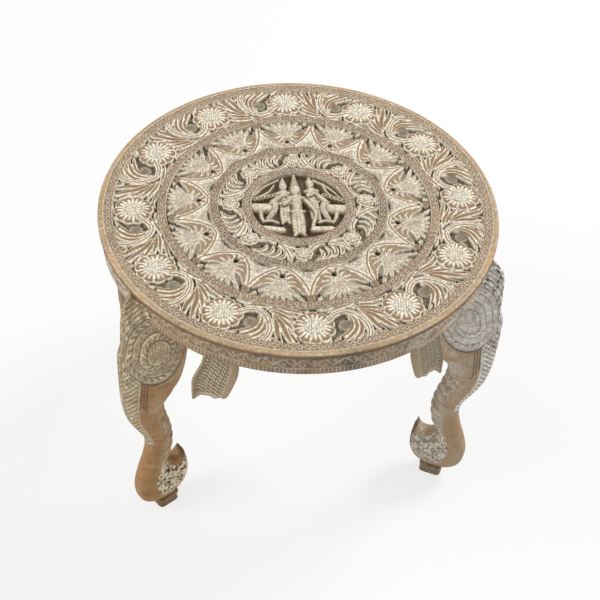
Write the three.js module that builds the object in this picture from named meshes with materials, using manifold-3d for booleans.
// A round carved low table on three elephant legs, in millimetres, +Z up.
// The origin is the bottom centre of its bounding box, so it stands on z = 0.
import * as THREE from 'three';
import { mergeVertices } from 'three/addons/utils/BufferGeometryUtils.js';
import Module from 'manifold-3d';

const wasm = await Module();
wasm.setup();

// Driving dimensions
const topRadius = 230;
const tableHeight = 400;

// General fits
const clearance = 0.3; // gap kept between touching pieces
const overrun = 2; // how far a cutter runs past the face it opens

// Facets round a full turn of the table, shared by every ring so that their flats line up
const turnFacets = 60;
const pegFacets = 10;

// Top board: a lip all round, and below it a rebate that the frieze ring wraps
const boardThickness = 18;
const lipHeight = 6;
const lipRounding = 2.5;
const rebateWidth = 28;
const bandDepth = 4; // ground of the carved bands below the plain borders
const formRoot = 1; // how far the forms on a ground run down into it
const medallionDepth = 8;
const borderSlope = 1;
// Outer and inner edge of each plain border, as shares of the top radius
const borderShares = [
  [0.982, 0.925],
  [0.705, 0.662],
  [0.447, 0.402],
  [0.284, 0.238],
];
// Flowers and rosettes: domes with a flat seed disc. Carved by eye, they aren't quite evenly
// spaced, so each ring has its own list of turns in degrees.
const flowerTurns = [-2.7, 28.2, 56.9, 85.7, 115, 143.7, 175.1, 204.8, 234.8, 265.1, 296.4, 326.9];
const flowerCircle = 189; // from the table's axis to the middle of a flower
const flowerRadius = 22.5;
const seedRadius = 10;
const petalDrop = 2.2; // rim of a flower below its seed disc
const rosetteTurns = [-0.3, 42.3, 86.1, 127.5, 170.7, 216.3, 264.3, 309.9];
const rosetteCircle = 79;
const rosetteRadius = 10.5;
const rosetteSeedRadius = 4;
const flowerFacets = 10;
// Leaf forms between them, as [share of the turn to the next one, share of the top radius]
const leafDrop = 1.3; // top of a leaf form below the borders
const scrollShares = [
  [0.17, 0.79], [0.28, 0.742], [0.45, 0.748], [0.56, 0.82], [0.55, 0.9], [0.5, 0.937],
  [0.2, 0.937], [0.18, 0.905], [0.33, 0.87], [0.43, 0.82], [0.38, 0.775], [0.25, 0.785],
];
const leafFanShares = [
  [0.52, 0.735], [0.8, 0.75], [0.78, 0.8], [0.8, 0.85], [0.87, 0.937], [0.61, 0.937], [0.6, 0.85],
];
const smallScrollShares = [
  [0.2, 0.305], [0.4, 0.289], [0.72, 0.291], [0.85, 0.33], [0.8, 0.392], [0.3, 0.397], [0.24, 0.36],
];
// Arches of the second band: a spray above the middle of each, a spandrel between two
const archTurns = [6.9, 34.2, 61.2, 87.3, 114.3, 141.6, 168, 196.5, 223.5, 251.4, 279.9, 309.9, 338.7];
const sprayShares = [
  [-0.06, 0.52], [-0.2, 0.545], [-0.42, 0.61], [-0.34, 0.655],
  [0.34, 0.655], [0.42, 0.61], [0.2, 0.545], [0.06, 0.52],
];
const spandrelShares = [
  [0.44, 0.62], [0.4, 0.55], [0.29, 0.495], [0.12, 0.458],
  [0.88, 0.458], [0.71, 0.495], [0.6, 0.55], [0.56, 0.62],
];

// Medallion: crowned figures and beasts laid out from the table's axis, facing the main view
const figureTurn = THREE.MathUtils.degToRad(-11.1);
const figureSink = 0.8; // highest places of the figures below the borders
const figureFlatness = 0.55; // thickness of a form as a share of its width
const figureFacets = 6;
// Place of each figure as shares of the medallion's radius, across and up; then its own measure as
// such a share; then 1, or -1 where the figure is mirrored. A standing figure is counted in heads.
const standingShares = [[-0.07, -0.92, 0.29, 1], [-0.33, -0.53, 0.245, 1], [0.27, -0.42, 0.245, -1]];
const beastShares = [[-0.72, -0.05, 0.1, 1], [0.75, 0.03, 0.1, -1]];
// Forms of a figure in its own measure: from (across, up) to (across, up), half width at both
const standingFormShares = [
  [0, 0.05, 0, 2.6, 0.42, 0.56], // garment
  [0, 2.5, 0, 4, 0.42, 0.7], // chest
  [0, 4.1, 0, 4.6, 0.24, 0.42], // chin to temples
  [0, 4.6, 0, 5.1, 0.42, 0.32],
  [0, 5, 0, 6.1, 0.34, 0.1], // crown
  [0.72, 3.9, 1.05, 2.1, 0.2, 0.13], // arms
  [-0.72, 3.9, -1.05, 2.1, 0.2, 0.13],
];
const beastFormShares = [
  [-1.9, 0, 2.2, 0.3, 1.55, 1.5], // body
  [1.8, 0.8, 3, 2.4, 1.1, 0.7], // neck
  [2.6, 2.4, 4.1, 2.8, 0.85, 0.55], // head
  [-1.2, -1, -1.4, -4.7, 0.7, 0.45], // legs
  [1.2, -1, 1.9, -4.7, 0.7, 0.45],
  [-2, -5.4, 3.2, -5.4, 1, 1], // ledge
];

// Frieze ring: three curved segments, butted behind the elephants' crowns
const friezeDrop = 33; // underside of the ring below the table top
const friezeInset = 2; // frieze face behind the lip
const friezeHollow = 1.5;
const fringeHeight = 5;
const friezeDowelRadius = 4;
const friezeDowelLength = 30;

// Elephant legs: reach is measured outwards from the rim, drop downwards from the table top
const legNames = ['rear', 'left', 'right'];
const rearLegTurn = Math.PI / 2;
const headReach = 27; // how far the forehead stands out past the rim
const headDepth = 87; // forehead to the flat back of the head
const headHalfWidth = 44;
const legRingPoints = 16;
// Profile of head, trunk and curl from the crown to the trunk's tip. Each row holds the outer
// edge (reach, drop), the inner edge (reach, drop), the half width and how much narrower the
// outer edge is. Reaches are shares of the head depth, drops of the table height, half widths
// of the head's half width.
const profileShares = [
  [0.1, 0.026, -0.71, 0.026, 0.8, 0.72],
  [0.18, 0.05, -0.71, 0.05, 0.92, 0.7],
  [0.215, 0.1, -0.71, 0.1, 1, 0.66],
  [0.235, 0.16, -0.71, 0.16, 1, 0.62],
  [0.25, 0.2, -0.7, 0.21, 1, 0.58],
  [0.3, 0.23, -0.69, 0.25, 0.98, 0.55],
  [0.31, 0.3, -0.64, 0.325, 0.92, 0.5],
  [0.31, 0.37, -0.56, 0.385, 0.8, 0.42],
  [0.3, 0.43, -0.38, 0.43, 0.66, 0.34],
  [0.26, 0.495, -0.27, 0.47, 0.54, 0.28],
  [0.19, 0.545, -0.29, 0.53, 0.46, 0.22],
  [0.08, 0.6, -0.35, 0.59, 0.41, 0.18],
  [0, 0.645, -0.39, 0.64, 0.38, 0.14],
  [-0.01, 0.695, -0.4, 0.69, 0.37, 0.1],
  [0.05, 0.75, -0.36, 0.74, 0.37, 0.08],
  [0.14, 0.81, -0.29, 0.778, 0.38, 0.06],
  [0.2, 0.873, -0.3, 0.797, 0.39, 0.05],
  [0.15, 0.932, -0.36, 0.81, 0.39, 0.05],
  [-0.03, 0.967, -0.42, 0.817, 0.39, 0.05],
  [-0.27, 0.973, -0.46, 0.818, 0.38, 0.05],
  [-0.5, 0.953, -0.51, 0.815, 0.37, 0.1],
  [-0.62, 0.91, -0.545, 0.808, 0.34, 0.15],
  [-0.645, 0.86, -0.565, 0.798, 0.28, 0.2],
  [-0.625, 0.815, -0.585, 0.786, 0.2, 0.25],
];
const ringsPerStation = 2;
// Wrinkle rings on the inner side of the trunk
const ribCount = 8;
const ribHeight = 3;
const ribRings = 3;
const ribZoneStations = [8.6, 14.4]; // station numbers between which the wrinkles lie
// Temple bosses
const templeBossRadius = 20;
const templeBossRise = 28; // half of its height
const templeBossThickness = 9; // half of the boss, part of it sunk in the head
const templeDrop = 78;
const templeInset = 10; // inwards from the rim
const templeSpread = 22; // each side of the middle line
const templeFacets = 10;
// Foot block under the curl of the trunk
const footLength = 30;
const footWidth = 30;
const footHeight = 16;
const footInset = 22; // middle of the block, inwards from the rim
const footChamfer = 2;

// Ears: a curved flap and a root let into the side of the head
const earRadiusInset = 16; // outer face of the flap, inwards from the rim
const earThickness = 8;
const earHeight = 103;
const earSpan = 124; // arc from the elephant's middle line to the flap's outer edge
const earFoldHeight = 4;
const earRootStartShare = 0.2; // where the root starts inside the head, as a share of the ear span
const earRootEndShare = 0.68; // how far the root reaches, as a share of the ear span
const earRootHeight = 24;
const earRootThickness = 6;
const earRootSetback = 2.5;
const earRootColumns = 4;
const earRootRows = 1;
const earColumns = 8;
const earRows = 5;
const earEdgeShare = 0.66; // thickness along the lower edge, as a share of the thickness at the top
// Inner and outer edge of the flap from top to bottom, as shares of the ear span
const earInnerShares = [0.7, 0.665, 0.635, 0.585, 0.54, 0.535, 0.54];
const earOuterShares = [1, 1, 1, 0.99, 0.965, 0.935, 0.9];
// Lower edge of the flap from the fold to the outer corner, as shares of the ear height
const earLowerShares = [1, 0.93, 0.88, 0.85, 0.835, 0.82, 0.8, 0.74];
// How far the fold stands out across the flap, as shares of the fold height
const earFoldShares = [0.6, 1, 0.1, 0, 0.2, 0.3, 0.25, 0.1, 0.3];
const earPegRadius = 2;
const earPegLength = 26;
const earPegInset = 18; // arc from the flap's outer edge to the peg

// Corner blocks, dowels and screws under the board
const blockDepth = 40;
const blockWidth = 56;
const blockHeight = 36;
const blockChamfer = 6;
const headDowelRadius = 4;
const headDowelLength = 22;
const headDowelSpread = 18; // each side of the middle line
const headDowelSetback = 12; // outwards from the flat back of the head
const dowelInBoard = 9;
const screwHeadRadius = 4.2;
const screwHeadHeight = 2.6;
const screwShankRadius = 2;
const screwPoint = 4;
const boardScrewLength = 42;
const headScrewLength = 58;
const boardScrewOffset = 14; // sideways from the block's middle
const blockScrewOffset = 12; // the other way, for the screw into the head

// Places worked out from the sizes above
const topZ = tableHeight;
const boardUnder = topZ - boardThickness;
const bandLevel = topZ - bandDepth;
const medallionGround = topZ - medallionDepth;
const medallionRadius = borderShares[borderShares.length - 1][1] * topRadius;
const lipUnder = topZ - lipHeight;
const rebateRadius = topRadius - rebateWidth;
const friezeTop = lipUnder - clearance;
const friezeUnder = topZ - friezeDrop;
const friezeRadius = topRadius - friezeInset;
const friezeInnerRadius = rebateRadius + clearance;
const legTop = boardUnder - clearance;
const blockUnder = legTop - blockHeight;
const headBack = topRadius + headReach - headDepth;
const blockFront = headBack - clearance;
const legTurn = (2 * Math.PI) / legNames.length;

const finishes = {
  top: { color: 0x94785c, roughness: 0.72 },
  frieze: { color: 0x7d6650, roughness: 0.74 },
  leg: { color: 0x8d6f52, roughness: 0.62 },
  ear: { color: 0x887360, roughness: 0.75 },
  block: { color: 0xa98e6c, roughness: 0.8 },
  dowel: { color: 0xc2a57c, roughness: 0.8 },
  screw: { color: 0x8d8a82, roughness: 0.4, metalness: 0.9 },
};

// A closed solid from a three.js geometry, leaving out facets that have shrunk to a line
function solidOf(geometry) {
  const plain = geometry.clone();
  plain.deleteAttribute('normal');
  plain.deleteAttribute('uv');
  const merged = mergeVertices(plain);
  const corners = merged.index.array;
  const kept = [];
  for (let i = 0; i < corners.length; i += 3) {
    const [a, b, c] = [corners[i], corners[i + 1], corners[i + 2]];
    if (a !== b && b !== c && c !== a) kept.push(a, b, c);
  }
  return new wasm.Manifold(new wasm.Mesh({
    numProp: 3,
    vertProperties: new Float32Array(merged.attributes.position.array),
    triVerts: new Uint32Array(kept),
  }));
}

function geometryOf(solid) {
  const mesh = solid.getMesh();
  const geometry = new THREE.BufferGeometry();
  geometry.setAttribute('position', new THREE.BufferAttribute(mesh.vertProperties, 3));
  geometry.setIndex(new THREE.BufferAttribute(mesh.triVerts, 1));
  geometry.computeVertexNormals();
  return geometry;
}

function meshOf(name, solid, finish) {
  const material = new THREE.MeshStandardMaterial({ metalness: 0, ...finish });
  const mesh = new THREE.Mesh(geometryOf(solid), material);
  mesh.name = name;
  return mesh;
}

// A solid turned about the table's axis from [radius, height] corners
function turned(profile, facets = turnFacets) {
  const points = profile.map(([radius, height]) => new THREE.Vector2(radius, height));
  const geometry = new THREE.LatheGeometry(points, facets);
  return solidOf(geometry.rotateX(Math.PI / 2));
}

function ringProfile(inner, outer, low, high) {
  return [[inner, low], [outer, low], [outer, high], [inner, high], [inner, low]];
}

// A round bar along the X, Y or Z axis with its middle at the given place
function bar(radius, length, axis, place, facets = pegFacets) {
  const geometry = new THREE.CylinderGeometry(radius, radius, length, facets);
  if (axis === 'x') geometry.rotateZ(Math.PI / 2);
  if (axis === 'z') geometry.rotateX(Math.PI / 2);
  return solidOf(geometry.translate(...place));
}

function box(size, place) {
  return solidOf(new THREE.BoxGeometry(...size).translate(...place));
}

// A closed skin over rows of points, where each row is a loop
function loopSkin(rows) {
  const count = rows[0].length;
  const points = rows.flat();
  const faces = [];
  for (let r = 0; r + 1 < rows.length; r += 1) {
    for (let k = 0; k < count; k += 1) {
      const next = (k + 1) % count;
      const [a, b, c, d] = [r * count + k, r * count + next, (r + 1) * count + next, (r + 1) * count + k];
      faces.push(a, b, c, a, c, d);
    }
  }
  for (const [row, flip] of [[0, true], [rows.length - 1, false]]) {
    const middle = points.length;
    const ring = rows[row];
    points.push(ring.reduce((sum, p) => sum.add(p), new THREE.Vector3()).divideScalar(count));
    for (let k = 0; k < count; k += 1) {
      const here = row * count + k;
      const next = row * count + ((k + 1) % count);
      faces.push(...(flip ? [middle, next, here] : [middle, here, next]));
    }
  }
  const geometry = new THREE.BufferGeometry().setFromPoints(points);
  geometry.setIndex(faces);
  return solidOf(geometry);
}

// A value read between evenly spaced entries of a list
function alongList(list, share) {
  const place = share * (list.length - 1);
  const low = Math.min(Math.floor(place), list.length - 2);
  return THREE.MathUtils.lerp(list[low], list[low + 1], place - low);
}

// A low dome with a flat seed disc, standing on a carved band
function flowerDome(radius, seed) {
  const foot = bandLevel - formRoot;
  return turned([[0, foot], [radius, foot], [radius, topZ - petalDrop], [seed, topZ], [0, topZ]], flowerFacets);
}

// A flat-topped leaf form on a carved band. Its shares count from one turn to the next.
function leafForm(shares, turn, nextTurn) {
  const corners = shares.map(([along, out]) => {
    const angle = THREE.MathUtils.degToRad(THREE.MathUtils.lerp(turn, nextTurn, along));
    return new THREE.Vector2(out * topRadius * Math.cos(angle), out * topRadius * Math.sin(angle));
  });
  const depth = bandDepth - leafDrop + formRoot;
  const form = new THREE.ExtrudeGeometry(new THREE.Shape(corners), { depth, bevelEnabled: false });
  return solidOf(form.translate(0, 0, bandLevel - formRoot));
}

// Calls a function with each turn of a ring and the next one
function eachGap(turns, make) {
  return turns.map((turn, i) => make(turn, i + 1 < turns.length ? turns[i + 1] : turns[0] + 360));
}

// Flowers, arches and rosettes with the leaf forms between them
function bandForms() {
  const atTurn = (solid, circle) => (turn) => {
    const angle = THREE.MathUtils.degToRad(turn);
    return solid.translate([circle * Math.cos(angle), circle * Math.sin(angle), 0]);
  };
  const flowers = flowerTurns.map(atTurn(flowerDome(flowerRadius, seedRadius), flowerCircle));
  const rosettes = rosetteTurns.map(atTurn(flowerDome(rosetteRadius, rosetteSeedRadius), rosetteCircle));
  const forms = [...flowers, ...rosettes];
  for (const shares of [scrollShares, leafFanShares]) {
    forms.push(...eachGap(flowerTurns, (turn, next) => leafForm(shares, turn, next)));
  }
  forms.push(...eachGap(rosetteTurns, (turn, next) => leafForm(smallScrollShares, turn, next)));
  forms.push(...eachGap(archTurns, (turn, next) => leafForm(spandrelShares, turn, next)));
  forms.push(...eachGap(archTurns, (turn, next) => leafForm(sprayShares, turn, next)));
  return forms;
}

// A rounded form of the medallion between two places, carried straight down to below the ground
function figureForm(start, end, startRadius, endRadius) {
  const step = end.clone().sub(start);
  const geometry = new THREE.CylinderGeometry(endRadius, startRadius, step.length(), figureFacets);
  geometry.rotateY(Math.PI / figureFacets).scale(1, 1, figureFlatness);
  geometry.rotateZ(step.angle() - Math.PI / 2);
  const middle = start.clone().lerp(end, 1 / 2);
  const sink = figureSink + Math.max(startRadius, endRadius) * figureFlatness;
  const form = solidOf(geometry.translate(middle.x, middle.y, topZ - sink));
  return wasm.Manifold.hull([form, form.translate([0, 0, -medallionDepth])]);
}

// One figure of the medallion, laid out from its own foot or body
function figureForms(formShares, [acrossShare, upShare, unitShare, facing]) {
  const unit = unitShare * medallionRadius;
  const place = (across, up) => new THREE.Vector2(
    acrossShare * medallionRadius + facing * across * unit, upShare * medallionRadius + up * unit);
  return formShares.map(([fromAcross, fromUp, toAcross, toUp, startShare, endShare]) => figureForm(
    place(fromAcross, fromUp), place(toAcross, toUp), startShare * unit, endShare * unit));
}

// All figures of the medallion, cut off at its wall and just below its ground
function medallionFigures() {
  const forms = [
    ...standingShares.flatMap((shares) => figureForms(standingFormShares, shares)),
    ...beastShares.flatMap((shares) => figureForms(beastFormShares, shares)),
  ];
  const foot = medallionGround - formRoot;
  const room = turned([[0, foot], [medallionRadius, foot], [medallionRadius, topZ], [0, topZ]]);
  const turn = [0, 0, THREE.MathUtils.radToDeg(figureTurn)];
  return wasm.Manifold.union(forms).rotate(turn).intersect(room);
}

// Top board: lip, rebate, raised borders, the carved bands' main forms and the sunk medallion
function topBoard() {
  const profile = [[0, boardUnder], [rebateRadius, boardUnder], [rebateRadius, lipUnder]];
  profile.push([topRadius - lipRounding, lipUnder]);
  const lipMiddle = lipUnder + lipHeight / 2;
  profile.push([topRadius, lipUnder + lipRounding / 2]);
  profile.push([topRadius, lipMiddle]);
  profile.push([topRadius - lipRounding / 2, topZ - lipRounding / 2]);
  for (const [outerShare, innerShare] of borderShares) {
    const outer = outerShare * topRadius;
    const inner = innerShare * topRadius;
    if (outerShare !== borderShares[0][0]) profile.push([outer + borderSlope, bandLevel]);
    profile.push([outer, topZ], [inner, topZ]);
    const last = inner === medallionRadius;
    profile.push([inner - borderSlope, last ? medallionGround : bandLevel]);
  }
  profile.push([0, medallionGround]);
  return wasm.Manifold.union([turned(profile), ...bandForms(), medallionFigures()]);
}

// The whole frieze ring: a hollow face with a fringe standing proud along its foot
function friezeRing() {
  const fringeTop = friezeUnder + fringeHeight;
  return turned([
    [friezeInnerRadius, friezeUnder],
    [friezeRadius, friezeUnder],
    [friezeRadius, fringeTop - friezeHollow],
    [friezeRadius - friezeHollow, fringeTop],
    [friezeRadius - friezeHollow, friezeTop - friezeHollow],
    [friezeRadius, friezeTop],
    [friezeInnerRadius, friezeTop],
    [friezeInnerRadius, friezeUnder],
  ]);
}

// One segment of the ring between two legs, centred on +X
function friezeSegment() {
  const reach = 2 * topRadius; // well past the ring
  const sector = new THREE.Shape();
  const half = legTurn / 2;
  const apex = clearance / 2 / Math.sin(half);
  sector.moveTo(apex, 0);
  sector.lineTo(apex + reach * Math.cos(half), -reach * Math.sin(half));
  sector.lineTo(apex + reach, 0);
  sector.lineTo(apex + reach * Math.cos(half), reach * Math.sin(half));
  const wedge = new THREE.ExtrudeGeometry(sector, { depth: tableHeight, bevelEnabled: false });
  let segment = friezeRing().intersect(solidOf(wedge));
  for (const side of [-1, 1]) {
    const turn = [0, 0, THREE.MathUtils.radToDeg(side * half)];
    segment = segment.subtract(friezeDowel(clearance).rotate(turn));
    segment = segment.subtract(earPeg(-side, clearance).rotate(turn));
  }
  return segment;
}

// Loose dowel that joins two segments, at the middle line of a leg on +X
function friezeDowel(grow = 0) {
  const middleRadius = (friezeInnerRadius + friezeRadius) / 2;
  const middleHeight = (friezeTop + friezeUnder) / 2;
  const length = friezeDowelLength + 2 * grow;
  return bar(friezeDowelRadius + grow, length, 'y', [middleRadius, 0, middleHeight]);
}

// Outline of one slice through head or trunk, round in the middle and narrower outwards
function legSlice(outer, inner, halfWidth, narrowing) {
  const ring = [];
  for (let k = 0; k < legRingPoints; k += 1) {
    const angle = (2 * Math.PI * k) / legRingPoints;
    const along = (1 + Math.cos(angle)) / 2;
    const across = Math.sin(angle) * (1 - narrowing * along);
    ring.push(new THREE.Vector3(
      THREE.MathUtils.lerp(inner.x, outer.x, along),
      halfWidth * across,
      THREE.MathUtils.lerp(inner.y, outer.y, along),
    ));
  }
  return ring;
}

// The station numbers at which the leg is sliced: finer where the trunk has its wrinkles
function sliceStations() {
  const [ribStart, ribEnd] = ribZoneStations;
  const last = profileShares.length - 1;
  const stations = [];
  const addEven = (from, to, steps) => {
    for (let i = 0; i < steps; i += 1) stations.push(from + ((to - from) * i) / steps);
  };
  addEven(0, ribStart, Math.round(ribStart * ringsPerStation));
  addEven(ribStart, ribEnd, ribCount * ribRings);
  addEven(ribEnd, last, Math.round((last - ribEnd) * ringsPerStation));
  stations.push(last);
  return stations;
}

// Head, trunk and curl in one lofted solid, in the plane y = 0 outwards along +X
function legLoft() {
  const reach = (share) => topRadius + share * headDepth;
  const height = (share) => topZ - share * tableHeight;
  const outerLine = new THREE.SplineCurve(
    profileShares.map((row) => new THREE.Vector2(reach(row[0]), height(row[1]))));
  const innerLine = new THREE.SplineCurve(
    profileShares.map((row) => new THREE.Vector2(reach(row[2]), height(row[3]))));
  const widths = profileShares.map((row) => row[4] * headHalfWidth);
  const narrowings = profileShares.map((row) => row[5]);
  const [ribStart, ribEnd] = ribZoneStations;
  const rows = sliceStations().map((station) => {
    const share = station / (profileShares.length - 1);
    const outer = outerLine.getPoint(share);
    const inner = innerLine.getPoint(share);
    const inZone = (station - ribStart) / (ribEnd - ribStart);
    if (inZone > 0 && inZone < 1) {
      const swell = Math.abs(Math.sin(Math.PI * ribCount * inZone)) * ribHeight;
      inner.addScaledVector(inner.clone().sub(outer).normalize(), swell);
    }
    return legSlice(outer, inner, alongList(widths, share), alongList(narrowings, share));
  });
  return loopSkin(rows.reverse());
}

// Rounded boss on each temple
function templeBoss(side) {
  const geometry = new THREE.SphereGeometry(1, templeFacets, templeFacets / 2);
  geometry.scale(templeBossRadius, templeBossThickness, templeBossRise);
  const place = [topRadius - templeInset, side * templeSpread, topZ - templeDrop];
  return solidOf(geometry.translate(...place));
}

function footBlock() {
  const outline = new THREE.Shape();
  const halfLength = footLength / 2;
  const halfWidth = footWidth / 2;
  outline.moveTo(halfLength, footChamfer - halfWidth);
  outline.lineTo(halfLength, halfWidth - footChamfer);
  outline.lineTo(halfLength - footChamfer, halfWidth);
  outline.lineTo(footChamfer - halfLength, halfWidth);
  outline.lineTo(-halfLength, halfWidth - footChamfer);
  outline.lineTo(-halfLength, footChamfer - halfWidth);
  outline.lineTo(footChamfer - halfLength, -halfWidth);
  outline.lineTo(halfLength - footChamfer, -halfWidth);
  const block = new THREE.ExtrudeGeometry(outline, { depth: footHeight, bevelEnabled: false });
  return solidOf(block.translate(topRadius - footInset, 0, 0));
}

// What the leg leaves free for the board and the frieze ring round it
function tableSpace() {
  const lip = turned(ringProfile(0, topRadius + clearance, lipUnder - clearance, topZ + overrun));
  const ring = turned(ringProfile(
    friezeInnerRadius - clearance, friezeRadius + clearance, friezeUnder - clearance, topZ + overrun));
  const board = turned(ringProfile(0, rebateRadius + clearance, legTop, topZ + overrun));
  return lip.add(ring).add(board);
}

// What is cut away behind the head for a flat back, down to half the height of the table
function backSpace() {
  const width = 2 * (headHalfWidth + overrun);
  return box([headDepth, width, tableHeight], [headBack - headDepth / 2, 0, topZ]);
}

// Head, trunk, curl and foot of one elephant, carved from one block
function elephantLeg() {
  let leg = legLoft().add(footBlock());
  for (const side of [-1, 1]) leg = leg.add(templeBoss(side));
  leg = leg.subtract(tableSpace()).subtract(backSpace());
  for (const side of [-1, 1]) {
    leg = leg.subtract(earRoot(side, clearance));
    leg = leg.subtract(headDowel(side, clearance));
  }
  return leg.subtract(headScrew(clearance));
}

// Place on the ear's curve: arc from the middle line, height, and depth inwards of the flap's face
function earPlace(side, arc, height, depth) {
  const faceRadius = topRadius - earRadiusInset;
  const angle = (side * arc) / faceRadius;
  const radius = faceRadius - depth;
  return new THREE.Vector3(radius * Math.cos(angle), radius * Math.sin(angle), height);
}

// A closed curved slab: place(across, down, inward) gives its points, each from 0 to 1
function curvedSlab(place, columns, rows, side) {
  const lines = [];
  for (let r = 0; r <= rows; r += 1) {
    const loop = [];
    for (let c = 0; c <= columns; c += 1) loop.push(place(c / columns, r / rows, 0));
    for (let c = columns; c >= 0; c -= 1) loop.push(place(c / columns, r / rows, 1));
    lines.push(side > 0 ? loop : loop.reverse());
  }
  return slabSkin(lines, columns + 1);
}

// Skin over loops whose first half is the face and second half the back
function slabSkin(lines, columnPoints) {
  const count = lines[0].length;
  const points = lines.flat();
  const faces = [];
  for (let r = 0; r + 1 < lines.length; r += 1) {
    for (let k = 0; k < count; k += 1) {
      const next = (k + 1) % count;
      const [a, b, c, d] = [r * count + k, r * count + next, (r + 1) * count + next, (r + 1) * count + k];
      faces.push(a, c, b, a, d, c);
    }
  }
  const lastRow = (lines.length - 1) * count;
  for (let c = 0; c + 1 < columnPoints; c += 1) {
    const [face, faceNext] = [c, c + 1];
    const [back, backNext] = [count - 1 - c, count - 2 - c];
    faces.push(face, faceNext, backNext, face, backNext, back);
    faces.push(lastRow + face, lastRow + backNext, lastRow + faceNext);
    faces.push(lastRow + face, lastRow + back, lastRow + backNext);
  }
  const geometry = new THREE.BufferGeometry().setFromPoints(points);
  geometry.setIndex(faces);
  return solidOf(geometry);
}

// Root of an ear, from inside the head to behind the flap
function earRoot(side, grow = 0) {
  const top = friezeUnder - clearance + grow;
  const start = earRootStartShare * earSpan - grow;
  const end = earRootEndShare * earSpan + grow;
  const place = (across, down, inward) => earPlace(
    side,
    THREE.MathUtils.lerp(start, end, across),
    top - down * (earRootHeight + 2 * grow),
    earRootSetback - grow + inward * (earRootThickness + 2 * grow),
  );
  return curvedSlab(place, earRootColumns, earRootRows, side);
}

// Flap of an ear with its rolled fold along the inner edge
function earFlap(side) {
  const top = friezeUnder - clearance;
  const place = (across, down, inward) => {
    const innerArc = alongList(earInnerShares, down) * earSpan;
    const outerArc = alongList(earOuterShares, down) * earSpan;
    const lower = alongList(earLowerShares, across) * earHeight;
    const fold = alongList(earFoldShares, across) * earFoldHeight * Math.sqrt(down);
    const thickness = earThickness * THREE.MathUtils.lerp(1, earEdgeShare, down);
    const arc = THREE.MathUtils.lerp(innerArc, outerArc, across);
    return earPlace(side, arc, top - down * lower, inward * thickness - fold);
  };
  return curvedSlab(place, earColumns, earRows, side);
}

function ear(side) {
  return earFlap(side).add(earRoot(side)).subtract(earPeg(side, clearance));
}

// Peg that hangs an ear from the frieze ring
function earPeg(side, grow = 0) {
  const middle = earPlace(side, earSpan - earPegInset, friezeUnder, earThickness / 2);
  const length = earPegLength + 2 * grow;
  return bar(earPegRadius + grow, length, 'z', [middle.x, middle.y, middle.z]);
}

function headDowel(side, grow = 0) {
  const length = headDowelLength + 2 * grow;
  const top = boardUnder + dowelInBoard + grow;
  return bar(headDowelRadius + grow, length, 'z',
    [headBack + headDowelSetback, side * headDowelSpread, top - length / 2]);
}

// A countersunk wood screw along +Z with its head's flat face at the origin
function screw(length, grow = 0) {
  const head = screwHeadRadius + grow;
  const shank = screwShankRadius + grow;
  return turned([
    [0, -grow],
    [head, -grow],
    [shank, screwHeadHeight],
    [shank, length - screwPoint],
    [0, length + grow],
  ], pegFacets);
}

function boardScrew(grow = 0) {
  const place = [blockFront - blockDepth / 2, boardScrewOffset, blockUnder];
  return screw(boardScrewLength, grow).translate(place);
}

function headScrew(grow = 0) {
  const place = [blockFront - blockDepth, -blockScrewOffset, blockUnder + blockHeight / 2];
  return screw(headScrewLength, grow).rotate([0, 90, 0]).translate(place);
}

// Glued corner block between the underside of the board and the back of the head
function cornerBlock() {
  const outline = new THREE.Shape();
  const half = blockWidth / 2;
  outline.moveTo(0, -half);
  outline.lineTo(0, half);
  outline.lineTo(blockChamfer - blockDepth, half);
  outline.lineTo(-blockDepth, half - blockChamfer);
  outline.lineTo(-blockDepth, blockChamfer - half);
  outline.lineTo(blockChamfer - blockDepth, -half);
  const block = new THREE.ExtrudeGeometry(outline, { depth: blockHeight, bevelEnabled: false });
  const solid = solidOf(block.translate(blockFront, 0, blockUnder));
  return solid.subtract(boardScrew(clearance)).subtract(headScrew(clearance));
}

// The board and the ring, opened for what each leg sends into them
function openedFor(solid, cutters) {
  let opened = solid;
  legNames.forEach((_, index) => {
    const turn = THREE.MathUtils.radToDeg(rearLegTurn + index * legTurn);
    for (const cutter of cutters) opened = opened.subtract(cutter.rotate([0, 0, turn]));
  });
  return opened;
}

function legGroup(name, index, shared) {
  const group = new THREE.Group();
  group.rotation.z = rearLegTurn + index * legTurn;
  const add = (part, solid, finish) => group.add(meshOf(part, solid, finish));
  add(`${name}_elephant_leg`, shared.leg, finishes.leg);
  add(`${name}_corner_block`, shared.block, finishes.block);
  add(`${name}_frieze_joint_dowel`, friezeDowel(), finishes.dowel);
  add(`${name}_block_to_board_screw`, boardScrew(), finishes.screw);
  add(`${name}_block_to_head_screw`, headScrew(), finishes.screw);
  for (const [side, word] of [[1, 'left'], [-1, 'right']]) {
    add(`${name}_elephant_${word}_ear`, shared.ears.get(side), finishes.ear);
    add(`${name}_elephant_${word}_ear_peg`, earPeg(side), finishes.dowel);
    add(`${name}_elephant_${word}_head_dowel`, headDowel(side), finishes.dowel);
  }
  return group;
}

// The whole table, its axis set back so that the bounding box is centred on the origin
function table() {
  const group = new THREE.Group();
  group.position.y = -headReach / 2;
  const boardCutters = [headDowel(1, clearance), headDowel(-1, clearance), boardScrew(clearance)];
  group.add(meshOf('top_board', openedFor(topBoard(), boardCutters), finishes.top));

  const segmentSolid = friezeSegment();
  for (const [index, word] of ['left', 'front', 'right'].entries()) {
    const segment = meshOf(`frieze_segment_${word}`, segmentSolid, finishes.frieze);
    segment.rotation.z = rearLegTurn + (index + 1 / 2) * legTurn;
    group.add(segment);
  }

  const shared = { leg: elephantLeg(), block: cornerBlock(), ears: new Map([[1, ear(1)], [-1, ear(-1)]]) };
  legNames.forEach((name, index) => group.add(legGroup(name, index, shared)));
  return group;
}

export default table();
